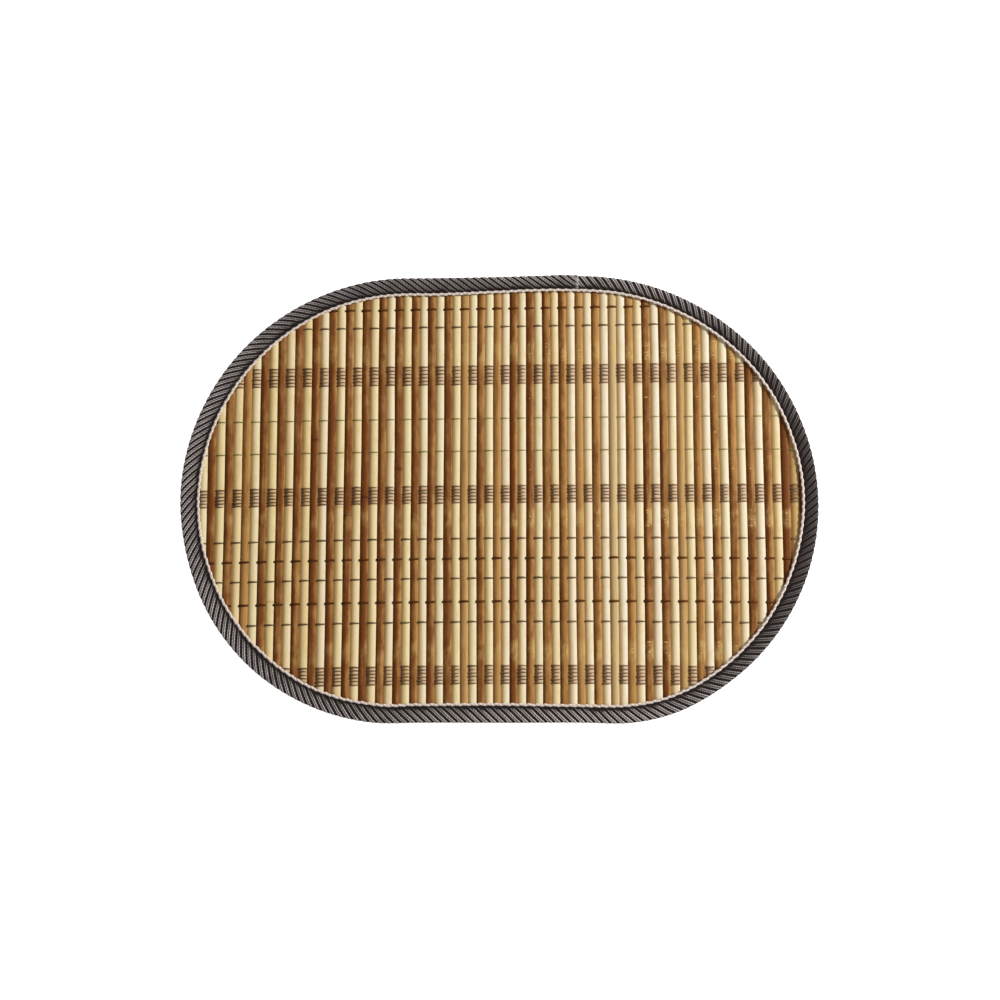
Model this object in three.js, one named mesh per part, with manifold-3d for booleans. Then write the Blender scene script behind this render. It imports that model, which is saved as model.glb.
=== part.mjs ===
// A bamboo placemat: a sheet of split bamboo slats, bound round its edge with a folded woven tape.
// Millimetres, +Z up. The mat lies flat, its slats run along Y, and the origin is on the surface
// under the middle of the mat.

import * as THREE from "three";
import * as BufferGeometryUtils from "three/addons/utils/BufferGeometryUtils.js";
import Module from "manifold-3d";

const wasm = await Module();
wasm.setup();

// Outline of the mat: two half circles joined by straight runs
const MAT_WIDTH = 425;
const MAT_DEPTH = 300;
const END_RADIUS = MAT_DEPTH / 2;
const STRAIGHT_HALF = MAT_WIDTH / 2 - END_RADIUS;
const HALF_CIRCLE = Math.PI * END_RADIUS;
const PERIMETER = 4 * STRAIGHT_HALF + 2 * HALF_CIRCLE;
const OUTLINE_SHIFT_Y = -1.36;

// Hand work round the edge, clockwise from the middle of the far side: how far the edge stands
// outside the true outline, and how wide the tape lies on top
const EDGE_STATIONS = [
  { along: 0, outward: 1.2, tape: 10.4 },
  { along: 40, outward: 2.2, tape: 10.2 },
  { along: 90, outward: 0.7, tape: 10.1 },
  { along: 140, outward: -0.5, tape: 9.9 },
  { along: 190, outward: -0.8, tape: 9.6 },
  { along: 240, outward: -0.7, tape: 9.8 },
  { along: 290, outward: 0.0, tape: 9.9 },
  { along: 340, outward: 0.7, tape: 10.7 },
  { along: 390, outward: 1.1, tape: 10.6 },
  { along: 440, outward: 1.3, tape: 10.3 },
  { along: 480, outward: 2.1, tape: 10.8 },
  { along: 510, outward: 0.9, tape: 11.0 },
  { along: 535, outward: -1.0, tape: 10.6 },
  { along: 590, outward: -1.0, tape: 11.6 },
  { along: 655, outward: -1.0, tape: 11.2 },
  { along: 680, outward: 0.3, tape: 11.5 },
  { along: 715, outward: 1.2, tape: 11.1 },
  { along: 765, outward: 1.8, tape: 12.0 },
  { along: 810, outward: 1.2, tape: 12.0 },
  { along: 855, outward: 0.1, tape: 11.6 },
  { along: 905, outward: 0.1, tape: 12.1 },
  { along: 955, outward: -0.4, tape: 12.0 },
  { along: 1005, outward: -0.5, tape: 12.0 },
  { along: 1055, outward: -0.5, tape: 11.4 },
  { along: 1105, outward: 0.1, tape: 11.6 },
  { along: 1150, outward: 0.4, tape: 11.4 },
];

// Heights through the mat
const TAPE_THICKNESS = 0.6;
const CLEARANCE = 0.3;
const PANEL_BOTTOM = TAPE_THICKNESS + CLEARANCE;
const PANEL_TOP = 2.7;
const LEG_UNDERSIDE = PANEL_TOP + CLEARANCE;
const TAPE_TOP = 3.9;

// Folded tape in section: depths from the edge, and how far its top falls there
const UNDERSIDE_START = 1.3;
const NOSE_HEIGHT = 1.5;
const NOSE_SHOULDER = 0.4;
const NOSE_DROP = 0.75;
const TOP_START = 1.7;
const TOP_START_DROP = 0.15;
const LIP_ROUND = 0.9;
const LIP_ROUND_DROP = 0.1;
const LIP_DROP = 0.4;
const FOLD_INNER = 1.5;
const LOWER_LEG_SHORTER = 0.8;

// Ribs that run slantwise over the tape, and how far round they lean for each mm of depth
const RIB_COUNT = 225;
const RIB_DEPTH = 0.32;
const LEAN_AFTER_LAP = 0.8;
const LEAN_BEFORE_LAP = 1.35;
const LEAN_CHANGE_HALF = 9;

// Where the tape laps over its own start
const LAP_ALONG = 51.5;
const LAP_HALF = 7;
const LAP_FADE = 3;
const LAP_RISE = 0.4;

// Slats: a brown one and a pale one make a pair, and this is the pale one's right edge
const PAIR_STATIONS = [
  { pair: -2, right: -217.6 },
  { pair: 0, right: -194.7 },
  { pair: 5, right: -137.6 },
  { pair: 10, right: -81.4 },
  { pair: 15, right: -26.2 },
  { pair: 20, right: 28.6 },
  { pair: 25, right: 84.5 },
  { pair: 30, right: 141.3 },
  { pair: 34, right: 188.0 },
  { pair: 37, right: 223.4 },
];
const FIRST_PAIR = -1;
const LAST_PAIR = 36;
const SLAT_GAP = 0.4;
const SLAT_BLANK_LENGTH = 330;
const GROOVE_TOP = 1.7;
const GROOVE_BOTTOM = 1.35;
const CROWN_DROP = 0.85;
const CROWN_POWER = 2.6;
const CROWN_STEPS = [1, 0.78, 0.42];
const UNDERSIDE_CHAMFER = 0.25;
const PANEL_INSET = 2.6;
const PANEL_SIDE_STEPS = 160;

const BAMBOO = { color: 0xc9a878, roughness: 0.55, metalness: 0 };
const TAPE = { color: 0x4a4244, roughness: 0.9, metalness: 0 };

// Smooth value of a table's column at a place between two rows, by Catmull and Rom's curve
function smoothBetween(before, from, to, after, part) {
  const squared = part * part;
  const cubed = squared * part;
  const bend = 2 * before - 5 * from + 4 * to - after;
  const twist = 3 * from - before - 3 * to + after;
  return 0.5 * (2 * from + (to - before) * part + bend * squared + twist * cubed);
}

// A column of the edge table at any distance round the mat, which closes on itself
function edgeValue(along, column) {
  const rows = EDGE_STATIONS;
  const place = ((along % PERIMETER) + PERIMETER) % PERIMETER;
  const count = rows.length;
  const index = rows.findLastIndex((row) => row.along <= place);
  const start = rows[index].along;
  const end = index === count - 1 ? PERIMETER : rows[index + 1].along;
  const at = (offset) => rows[(index + offset + count) % count][column];
  return smoothBetween(at(-1), at(0), at(1), at(2), (place - start) / (end - start));
}

// Point and outward direction of the true outline, clockwise from the middle of the far side
function trueOutline(along) {
  const half = PERIMETER / 2;
  const place = ((along % PERIMETER) + PERIMETER) % PERIMETER;
  const side = place < half ? 1 : -1;
  const run = place % half;
  let x = run;
  let y = END_RADIUS;
  let turn = 0;
  if (run > STRAIGHT_HALF + HALF_CIRCLE) {
    turn = Math.PI;
    x = STRAIGHT_HALF - (run - STRAIGHT_HALF - HALF_CIRCLE);
    y = -END_RADIUS;
  } else if (run > STRAIGHT_HALF) {
    turn = (run - STRAIGHT_HALF) / END_RADIUS;
    x = STRAIGHT_HALF + END_RADIUS * Math.sin(turn);
    y = END_RADIUS * Math.cos(turn);
  }
  const point = new THREE.Vector2(x, y).multiplyScalar(side);
  const outward = new THREE.Vector2(Math.sin(turn), Math.cos(turn)).multiplyScalar(side);
  return { point, outward };
}

// Point of the real, uneven edge, moved inwards by a depth
function edgePoint(along, depth) {
  const { point, outward } = trueOutline(along);
  const reach = edgeValue(along, "outward") - depth;
  return new THREE.Vector2(point.x + outward.x * reach, point.y + outward.y * reach + OUTLINE_SHIFT_Y);
}

// How much of the lap's height stands at a distance round the edge, from 0 to 1
function lapShare(along) {
  const away = Math.abs(along - LAP_ALONG);
  return 1 - THREE.MathUtils.smoothstep(away, LAP_HALF - LAP_FADE, LAP_HALF);
}

// How far round the ribs lean for each mm of depth: steep after the lap, then flatter all the way
function ribLean(along) {
  const behind = (along - LAP_ALONG + PERIMETER) % PERIMETER;
  const steady = THREE.MathUtils.lerp(LEAN_AFTER_LAP, LEAN_BEFORE_LAP, behind / PERIMETER);
  const away = Math.min(behind, PERIMETER - behind);
  const middle = (LEAN_AFTER_LAP + LEAN_BEFORE_LAP) / 2;
  return THREE.MathUtils.lerp(middle, steady, THREE.MathUtils.smoothstep(away, 0, LEAN_CHANGE_HALF));
}

// Section of the folded tape as depth from the edge and height, once round the closed shape,
// on the back of a rib or in the furrow beside it
function tapeSection(along, furrow) {
  const width = edgeValue(along, "tape");
  const lowerWidth = width - LOWER_LEG_SHORTER;
  const top = TAPE_TOP + LAP_RISE * lapShare(along) - furrow;
  return [
    [lowerWidth, 0],
    [UNDERSIDE_START, 0],
    [furrow / 2, NOSE_HEIGHT],
    [NOSE_SHOULDER + furrow / 2, top - NOSE_DROP],
    [TOP_START, top - TOP_START_DROP],
    [width / 2, top],
    [width - LIP_ROUND, top - LIP_ROUND_DROP],
    [width, TAPE_TOP - LIP_DROP],
    [width, LEG_UNDERSIDE],
    [FOLD_INNER, LEG_UNDERSIDE],
    [FOLD_INNER, TAPE_THICKNESS],
    [lowerWidth, TAPE_THICKNESS],
  ];
}

// The section is carried round the edge in two steps for each rib, slanted as the ribs are
function bindingGeometry() {
  const ringCount = 2 * RIB_COUNT;
  const positions = [];
  const triangles = [];
  let sectionSize = 0;
  for (let ring = 0; ring < ringCount; ring += 1) {
    const along = (ring * PERIMETER) / ringCount;
    const section = tapeSection(along, ring % 2 === 0 ? 0 : RIB_DEPTH);
    const middle = edgeValue(along, "tape") / 2;
    const lean = ribLean(along);
    sectionSize = section.length;
    for (const [depth, height] of section) {
      const point = edgePoint(along + lean * (depth - middle), depth);
      positions.push(point.x, point.y, height);
    }
  }
  for (let ring = 0; ring < ringCount; ring += 1) {
    const next = (ring + 1) % ringCount;
    for (let corner = 0; corner < sectionSize; corner += 1) {
      const following = (corner + 1) % sectionSize;
      const a = ring * sectionSize + corner;
      const b = ring * sectionSize + following;
      const c = next * sectionSize + following;
      const d = next * sectionSize + corner;
      triangles.push(a, b, c, a, c, d);
    }
  }
  const geometry = new THREE.BufferGeometry();
  geometry.setAttribute("position", new THREE.Float32BufferAttribute(positions, 3));
  geometry.setIndex(triangles);
  return geometry;
}

// Right edge of a pair's pale slat, from the table of stations
function pairRight(pair) {
  const rows = PAIR_STATIONS;
  const last = rows.length - 1;
  const index = Math.min(rows.findLastIndex((row) => row.pair <= pair), last - 1);
  const start = rows[index];
  const end = rows[index + 1];
  const before = rows[Math.max(index - 1, 0)];
  const after = rows[Math.min(index + 2, last)];
  const span = end.pair - start.pair;
  const slope = (from, to) => ((to.right - from.right) / (to.pair - from.pair)) * span;
  const part = (pair - start.pair) / span;
  const startSlope = index === 0 ? slope(start, end) : slope(before, end);
  const endSlope = index === last - 1 ? slope(start, end) : slope(start, after);
  const rest = 1 - part;
  return (
    (1 + 2 * part) * rest * rest * start.right +
    part * rest * rest * startSlope +
    part * part * (3 - 2 * part) * end.right -
    part * part * rest * endSlope
  );
}

// Left and right edge of every slat, two to a pair
function slatEdges() {
  const edges = [];
  for (let pair = FIRST_PAIR; pair <= LAST_PAIR; pair += 1) {
    const left = pairRight(pair - 1);
    const right = pairRight(pair);
    const middle = (left + right) / 2;
    edges.push([left + SLAT_GAP / 2, middle - SLAT_GAP / 2]);
    edges.push([middle + SLAT_GAP / 2, right - SLAT_GAP / 2]);
  }
  return edges;
}

// Section across all the slats: a crowned top, a flat underside and a groove between neighbours
function slatProfile() {
  const top = [];
  const bottom = [];
  for (const [left, right] of slatEdges()) {
    const middle = (left + right) / 2;
    const half = (right - left) / 2;
    const crown = (part) => PANEL_TOP - CROWN_DROP * part ** CROWN_POWER;
    top.push([left, GROOVE_TOP]);
    top.push(...CROWN_STEPS.map((part) => [middle - half * part, crown(part)]));
    top.push(...CROWN_STEPS.toReversed().map((part) => [middle + half * part, crown(part)]));
    top.push([right, GROOVE_TOP]);
    bottom.push([left, GROOVE_BOTTOM], [left + UNDERSIDE_CHAMFER, PANEL_BOTTOM]);
    bottom.push([right - UNDERSIDE_CHAMFER, PANEL_BOTTOM], [right, GROOVE_BOTTOM]);
  }
  return new THREE.Shape([...top, ...bottom.reverse()].map(([x, z]) => new THREE.Vector2(x, z)));
}

// A closed solid for joining and cutting, from a geometry of three.js
function toSolid(geometry) {
  geometry.deleteAttribute("normal");
  geometry.deleteAttribute("uv");
  const merged = BufferGeometryUtils.mergeVertices(geometry);
  const vertProperties = new Float32Array(merged.attributes.position.array);
  const triVerts = new Uint32Array(merged.index.array);
  return new wasm.Manifold(new wasm.Mesh({ numProp: 3, vertProperties, triVerts }));
}

function toGeometry(solid) {
  const mesh = solid.getMesh();
  const geometry = new THREE.BufferGeometry();
  geometry.setAttribute("position", new THREE.BufferAttribute(mesh.vertProperties, 3));
  geometry.setIndex(new THREE.BufferAttribute(mesh.triVerts, 1));
  return geometry;
}

// A flat outline in XY drawn out along Z
function drawnOut(shape, depth) {
  return new THREE.ExtrudeGeometry(shape, { depth, bevelEnabled: false, steps: 1 });
}

// The slats' section is drawn out, laid along Y and cut to the mat's outline
function panelGeometry() {
  const slats = drawnOut(slatProfile(), SLAT_BLANK_LENGTH);
  slats.rotateX(Math.PI / 2);
  slats.translate(0, SLAT_BLANK_LENGTH / 2, 0);
  const rim = [];
  for (let step = 0; step < PANEL_SIDE_STEPS; step += 1) {
    rim.push(edgePoint((step * PERIMETER) / PANEL_SIDE_STEPS, PANEL_INSET));
  }
  const cutter = drawnOut(new THREE.Shape(rim), PANEL_TOP + CLEARANCE);
  return toGeometry(toSolid(slats).intersect(toSolid(cutter)));
}

function piece(name, geometry, finish) {
  const mesh = new THREE.Mesh(geometry, new THREE.MeshStandardMaterial(finish));
  mesh.name = name;
  return mesh;
}

const placemat = new THREE.Group();
placemat.add(piece("slat_panel", panelGeometry(), BAMBOO));
placemat.add(piece("edge_binding", bindingGeometry(), TAPE));

export default placemat;
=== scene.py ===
"""A bamboo placemat: split slats in two tones, woven warp threads and a folded, ribbed edge tape."""

import math
import random
from collections import namedtuple

import bmesh
import bpy
from bpy.props import FloatProperty, FloatVectorProperty, IntProperty, PointerProperty
from mathutils import Matrix, Vector, noise


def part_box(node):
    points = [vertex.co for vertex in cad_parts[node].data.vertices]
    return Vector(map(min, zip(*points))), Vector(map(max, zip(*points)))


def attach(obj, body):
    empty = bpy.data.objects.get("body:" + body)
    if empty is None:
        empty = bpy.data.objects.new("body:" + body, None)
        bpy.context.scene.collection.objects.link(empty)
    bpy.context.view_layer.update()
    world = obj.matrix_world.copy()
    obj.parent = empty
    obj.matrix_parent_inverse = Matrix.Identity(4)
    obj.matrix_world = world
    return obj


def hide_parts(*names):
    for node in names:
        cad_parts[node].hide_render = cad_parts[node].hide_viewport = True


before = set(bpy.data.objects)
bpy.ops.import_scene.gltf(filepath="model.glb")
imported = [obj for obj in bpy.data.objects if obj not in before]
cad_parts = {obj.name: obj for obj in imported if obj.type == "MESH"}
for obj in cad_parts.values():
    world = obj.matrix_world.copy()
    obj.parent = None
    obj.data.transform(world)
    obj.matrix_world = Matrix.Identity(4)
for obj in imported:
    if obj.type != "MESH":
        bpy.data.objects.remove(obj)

bl_info = {
    "name": "Bamboo placemat",
    "version": (1, 0, 0),
    "blender": (4, 5, 0),
    "location": "View3D > Sidebar > Placemat",
    "description": "Builds the slats, warp threads and edge tape of a bamboo placemat",
    "category": "Object",
}

# Shapes are worked out in millimetres and brought to metres when a piece is finished
MM = 0.001
BODY = "root"
PANEL_LOW, PANEL_HIGH = ([side / MM for side in corner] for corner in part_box("slat_panel"))
PANEL_LEFT, _, PANEL_BOTTOM = PANEL_LOW
PANEL_RIGHT, _, PANEL_TOP = PANEL_HIGH
TAPE_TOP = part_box("edge_binding")[1].z / MM

# Outline of the mat: two half circles joined by straight runs
MAT_WIDTH = 425
END_RADIUS = 150
STRAIGHT_HALF = MAT_WIDTH / 2 - END_RADIUS
HALF_CIRCLE = math.pi * END_RADIUS
PERIMETER = 4 * STRAIGHT_HALF + 2 * HALF_CIRCLE
OUTLINE_SHIFT_Y = -1.36

# Hand work round the edge, clockwise from the middle of the far side: how far the edge stands
# outside the true outline, how wide the tape lies on top, and how bright its pale strands are, painted
# light and shade
EdgeStation = namedtuple("EdgeStation", "along outward tape strands")
EDGE_STATIONS = (
    EdgeStation(0, 1.2, 10.4, 0.85),
    EdgeStation(40, 2.2, 10.2, 1.0),
    EdgeStation(90, 0.7, 10.1, 1.0),
    EdgeStation(140, -0.5, 9.9, 0.75),
    EdgeStation(190, -0.8, 9.6, 0.5),
    EdgeStation(240, -0.7, 9.8, 0.3),
    EdgeStation(290, 0.0, 9.9, 0.22),
    EdgeStation(340, 0.7, 10.7, 0.22),
    EdgeStation(390, 1.1, 10.6, 0.35),
    EdgeStation(440, 1.3, 10.3, 0.65),
    EdgeStation(480, 2.1, 10.8, 0.9),
    EdgeStation(510, 0.9, 11.0, 1.2),
    EdgeStation(535, -1.0, 10.6, 1.35),
    EdgeStation(590, -1.0, 11.6, 1.1),
    EdgeStation(655, -1.0, 11.2, 0.85),
    EdgeStation(680, 0.3, 11.5, 0.85),
    EdgeStation(715, 1.2, 11.1, 0.9),
    EdgeStation(765, 1.8, 12.0, 0.95),
    EdgeStation(810, 1.2, 12.0, 1.15),
    EdgeStation(855, 0.1, 11.6, 1.2),
    EdgeStation(905, 0.1, 12.1, 1.2),
    EdgeStation(955, -0.4, 12.0, 1.15),
    EdgeStation(1005, -0.5, 12.0, 0.95),
    EdgeStation(1055, -0.5, 11.4, 0.75),
    EdgeStation(1105, 0.1, 11.6, 0.65),
    EdgeStation(1150, 0.4, 11.4, 0.65),
)

# A brown slat and a pale one make a pair, and this is the pale one's right edge
PairStation = namedtuple("PairStation", "pair right")
PAIR_STATIONS = (
    PairStation(-2, -217.6),
    PairStation(0, -194.7),
    PairStation(5, -137.6),
    PairStation(10, -81.4),
    PairStation(15, -26.2),
    PairStation(20, 28.6),
    PairStation(25, 84.5),
    PairStation(30, 141.3),
    PairStation(34, 188.0),
    PairStation(37, 223.4),
)
FIRST_PAIR = -1
LAST_PAIR = 36

# Brown slats that took less smoke than the rest, by their pair, and how much less
LightSlat = namedtuple("LightSlat", "pair lightness")
LIGHT_SLATS = (
    LightSlat(3, 0),
    LightSlat(16, 0.35),
    LightSlat(18, 0.15),
    LightSlat(23, 0.2),
    LightSlat(25, 1.05),
    LightSlat(26, 0.1),
    LightSlat(29, 0.45),
)

# Slats: how deep in the tape's fold they end, and the rounded blank that each is cut from, whose
# back is the part that stays flat when its top swells
Slat = namedtuple("Slat", "pair tone middle half")
SLAT_END_DEPTH = 4.5
SHORTEST_SLAT = 8
SLAT_RINGS = 30
SECTION_CORNERS = 22
SECTION_CROWDING = 0.7
SECTION_FULLNESS = 1.01
CROWN_DROP = 0.9
CROWN_POWER = 2.15
UNDERSIDE_CHAMFER = 0.25
CHAMFER_FROM = 0.85
BACK_HEIGHT = 0.3

# Split cane: how high and full a slat lies, how it sways and ripples, and how it swells at a knot
SLAT_SEED = 11
SLAT_LIFT = (-0.07, 0.05)
SLAT_FULLNESS = (1.012, 1.025)
SWAY = 0.5
SWAY_ACROSS = 45
SWAY_ALONG = 85
RIPPLE_LENGTH = 16
RIPPLE_ROWS = 90
RIPPLE_PLANE = 7
RIPPLE_WIDTH = 0.012
RIPPLE_HEIGHT = 0.02
KNOT_SPACING = 800
KNOT_SWELL = 0.035
KNOT_REACH = 4
KNOT_RISE = 3

# Tones drift from the left to the right and spread, and the slats at the right end are darkened with
# painted shadow of the tape
TONE_DRIFT = {"brown": (0.04, 0.58), "pale": (0.1, 0.7)}
TONE_SPREAD = 0.15
SHADOWED_END = 0.8
SHADOWED_END_REACH = (178, 192)

# Bamboo's grain: features for each metre across, along and through a slat, the direction in which
# a slat's seed shifts them, and where a knot's thin line and its soft band fade, in mm
FIBRE_SCALE = (1500, 26, 900)
STREAK_SCALE = (420, 9, 200)
BLOTCH_SCALE = (200, 75, 60)
SEED_SHIFT = (0.7, 1.9, 0.4)
KNOT_LINE = (0.15, 0.55)
KNOT_BAND = (0.4, 3.2)

# Tints that lie over a ground colour
GREEN_CANE = (0.93, 1, 0.8)
# Smoked tint, which is also painted shadow on the pale slats at the right end
SMOKE_AND_SHADOW_CANE = (0.6, 0.4, 0.2)
PALE_BLOTCH = (0.84, 0.75, 0.52)
PALE_FIBRE = (0.83, 0.76, 0.6)
PALE_KNOT = (0.62, 0.42, 0.2)
DYED_CANE = (0.7, 0.54, 0.52)
# Pale slat's left flank under a band: the yarn's dye and painted shade
DYED_SHADED_FLANK = (0.28, 0.18, 0.11)
# Brown slat's left flank: painted shade
BROWN_SHADED_FLANK = (0.42, 0.3, 0.2)
BROWN_FIBRE = (0.68, 0.52, 0.36)
BROWN_KNOT = (0.35, 0.2, 0.1)
TAPE_PLY = (0.55, 0.52, 0.52)

# Sheen of each stuff, its fine relief as a depth in metres and a strength, and how tightly yarn and
# tape are twisted, in radians for each metre of yarn, each mm of tape or each rib
BAMBOO_SHEEN = 0.12
BAMBOO_RELIEF = (0.0001, 0.4)
YARN_SHEEN = 0.1
YARN_RELIEF = (0.00008, 0.5)
PLIES_ALONG = 5600
PLIES_ACROSS = 7000
TAPE_SHEEN = 0.12
TAPE_RELIEF = (0.00018, 0.7)
TAPE_PLIES_ACROSS = 9.5
TAPE_PLIES_PER_RIB = math.tau
STITCHES_ACROSS = 5.2
SELVAGE_RELIEF = (0.00016, 0.7)
LOOPS_ACROSS = 2.4
LOOPS_PER_RIB = 2 * math.tau

# Warp threads, on the mat's middle line: place across the mat, number and spacing in a band, yarn,
# and the tone of slat that they pass over
WarpBand = namedtuple("WarpBand", "y count pitch yarn over")
WARP_BANDS = (
    WarpBand(129.0, 1, 0, "russet", "brown"),
    WarpBand(116.5, 1, 0, "dark", "pale"),
    WarpBand(98.3, 6, 2.3, "gold", "brown"),
    WarpBand(83.2, 6, 2.4, "dark", "pale"),
    WarpBand(66.8, 1, 0, "gold", "brown"),
    WarpBand(53.6, 1, 0, "olive", "pale"),
    WarpBand(42.8, 1, 0, "gold", "brown"),
    WarpBand(31.5, 1, 0, "olive", "pale"),
    WarpBand(18.5, 1, 0, "gold", "brown"),
    WarpBand(2.2, 6, 2.2, "dark", "pale"),
    WarpBand(-14.2, 6, 2.0, "gold", "brown"),
    WarpBand(-27.4, 1, 0, "dark", "pale"),
    WarpBand(-40.6, 1, 0, "russet", "brown"),
    WarpBand(-53.8, 1, 0, "dark", "pale"),
    WarpBand(-69.2, 1, 0, "russet", "brown"),
    WarpBand(-82.7, 1, 0, "dark", "pale"),
    WarpBand(-101.7, 6, 2.3, "gold", "brown"),
    WarpBand(-117.4, 6, 2.28, "dark", "pale"),
)

# Yarns: how far a thread drops towards a slat's edges and sinks into its crown, both in its own
# radius, how much thinner it gets over a slat from left to right, and how smooth its lit plies are
Yarn = namedtuple("Yarn", "name drop sink taper smoothness")
YARNS = (
    Yarn("dark", 0.7, (0, 1.3), 0.22, 0.1),
    Yarn("russet", 0.6, (0, 0.25), 0.1, 0.1),
    Yarn("olive", 0.8, (0, 1.0), 0.2, 0.15),
    Yarn("gold", 3.0, (1.2, 2.4), 0, 0.1),
)

# How threads lie: the places on a slat that they pass, how far they stray along it, how stout a
# single one is, how much of its sink it keeps on each tone, and their way under a slat
WARP_SEED = 5
WARP_STEPS = (-1.0, -0.86, -0.55, 0.0, 0.55, 0.86, 1.0)
SINGLE_STRAY = 0.2
BAND_STRAY = 0.35
SINGLE_STOUT = 1.2
SINGLE_SINK = {"pale": 0.4, "brown": 1.25}
UNDER_DROP = 0.85
UNDER_RISE = 0.9
UNDER_RISE_POWER = 8
UNDER_CLEARANCE = 0.05

# Gold threads sink deeper at the left end, and show in full past the second of two places
GOLD_SINK_LEFT = 1.8
GOLD_SHOWS = (-120, 100)

# Threads climb to the right, the far ones more, and bow to the front at both ends, the near ones more
WARP_NEAR_Y = -82
WARP_FAR_Y = 117
NEAR_SLOPE = 0.0069
SLOPE_GAIN = 4.27e-5
FAR_BOW = 6e-6
BOW_GAIN = 5.9e-5

# A band's stain on the slats: how far it runs past the band, and how softly it ends
STAIN_PAST_BAND = 0.6
DARK_STAIN_SOFT = 0.4
GOLD_STAIN_SOFT = 2.6

# Folded tape: ribs that lean over it, and where it laps over its own start
RIB_COUNT = 225
LEAN_AFTER_LAP = 0.8
LEAN_BEFORE_LAP = 1.35
LAP_ALONG = 51.5
LAP_LENGTH = 4
LAP_END = 2.2
LAP_FADE = (2, 16)

# Its ends are built a few ribs too long and cut square, within so many ribs of each
OVERRUN_RIBS = 2
CUT_RIBS = OVERRUN_RIBS + 3
CUT_DISTANCE = 0.001
MERGE_DISTANCE = 0.002

# The tape's section: depth from the edge, height, and share of the ribs' relief. The panel lies in
# its fold, and its top lies below the solid's, which the lap reaches
SectionCorner = namedtuple("SectionCorner", "depth height relief")
TAPE_THICKNESS = 0.6
TYPICAL_WIDTH = 10.8
BELOW_LAP = 0.4
CLEARANCE = 0.3
LOWER_LEG_SHORTER = 0.8

# How ribs and the lap shape the section: where they act, by depth or height, and what share of them
FURROW_FROM = 0.35
NOSE_REACH = (0.3, 3)
NOSE_SINK = 0.8
NOSE_LIFT = 0.6
LIP_WAVE = 0.3
LIP_WAVE_REACH = (0, 2)
UPPER_SIDE_HEIGHT = 1.8
LOWER_SIDE_SINK = 0.35
LAP_LIFT_HEIGHTS = (1.2, 3)

# Below this height the strands show as they do so far from the upper lip
LOWER_LEG_HEIGHT = 1
UNDER_LIP = 9

# Selvage: the tape's two lips, each by how much shorter it is, its cord's height and half the cord's
# thickness, and how the cord waves with the ribs and wanders
Lip = namedtuple("Lip", "shorter height half_thick")
UPPER_LIP = Lip(0, PANEL_TOP + 1.0, 0.5)
LOWER_LIP = Lip(LOWER_LEG_SHORTER, 0.36, 0.3)
SELVAGE_PAST_LIP = 0.5
SELVAGE_WAVE = 0.24
SELVAGE_RISE = 0.05
SELVAGE_WANDER = 0.2
WANDER_RIBS = 3
WANDER_PLANE = 3.1
CORD_CORNERS = 8
CORD_MAP_STEP = 0.4

# Studio, in metres: the camera looks at the mat from the near side, a little off straight down
CAMERA_DISTANCE = 1.1161
CAMERA_TILT = math.radians(8)
CAMERA_AIM = Vector((0, OUTLINE_SHIFT_Y * MM, 0))
CAMERA_CLIP = (0.01, 100)
SENSOR_MM = 36
FOCAL_SHARE = 1.673
SHIFT_X = 0.0006
SHIFT_Y = -0.00225
Lamp = namedtuple("Lamp", "name place size power")
LAMPS = (
    Lamp("key", (2.15, 0.62, 1.28), 0.3, 78),
    Lamp("fill", (-1.2, -0.9, 1.6), 1.6, 4),
)
SKY_COLOUR = (1, 1, 1, 1)
SKY_STRENGTH = 0.3
FLOOR_RADIUS = 20.0
FLOOR_SIDES = 48
FLOOR_RIM = 2.5
FLOOR_DROP_MM = 0.15
FLOOR_SHEEN = 0.1
FLOOR_HAZE = 0.985
FLOOR_GLOW = 0.85


def smooth_between(before, start, end, after, part):
    """Value between start and end on a smooth curve that passes through all four values."""
    bend = 2 * before - 5 * start + 4 * end - after
    twist = 3 * start - before - 3 * end + after
    return 0.5 * (2 * start + (end - before) * part + bend * part**2 + twist * part**3)


def smooth_step(value, low, high):
    """0 below low, 1 above high, and a soft rise between."""
    part = min(max((value - low) / (high - low), 0), 1)
    return part * part * (3 - 2 * part)


def mix(start, end, part):
    """Value a part of the way from start to end."""
    return start + (end - start) * part


def edge_value(along, column):
    """A column of the edge's stations at any distance round the mat."""
    place = along % PERIMETER
    count = len(EDGE_STATIONS)
    index = max(i for i, row in enumerate(EDGE_STATIONS) if row.along <= place)
    start = EDGE_STATIONS[index].along
    end = PERIMETER if index == count - 1 else EDGE_STATIONS[index + 1].along
    around = [getattr(EDGE_STATIONS[(index + step) % count], column) for step in (-1, 0, 1, 2)]
    return smooth_between(*around, (place - start) / (end - start))


def true_outline(along):
    """Point and outward direction of the true outline, clockwise from the middle of the far side."""
    half = PERIMETER / 2
    place = along % PERIMETER
    side = 1 if place < half else -1
    run = place % half
    x, y, turn = run, END_RADIUS, 0
    if run > STRAIGHT_HALF + HALF_CIRCLE:
        turn = math.pi
        x = 2 * STRAIGHT_HALF + HALF_CIRCLE - run
        y = -END_RADIUS
    elif run > STRAIGHT_HALF:
        turn = (run - STRAIGHT_HALF) / END_RADIUS
        x = STRAIGHT_HALF + END_RADIUS * math.sin(turn)
        y = END_RADIUS * math.cos(turn)
    return Vector((x, y)) * side, Vector((math.sin(turn), math.cos(turn))) * side


def edge_point(along, depth):
    """Point of the real, uneven edge, moved inwards by a depth."""
    point, outward = true_outline(along)
    point = point + outward * (edge_value(along, "outward") - depth)
    return Vector((point.x, point.y + OUTLINE_SHIFT_Y))


def reach_along_y(x, depth):
    """Half the mat's size along Y at a place across it, a depth inside the true outline."""
    radius = END_RADIUS - depth
    past_straight = max(abs(x) - STRAIGHT_HALF, 0)
    return math.sqrt(max(radius**2 - past_straight**2, 0))


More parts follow.
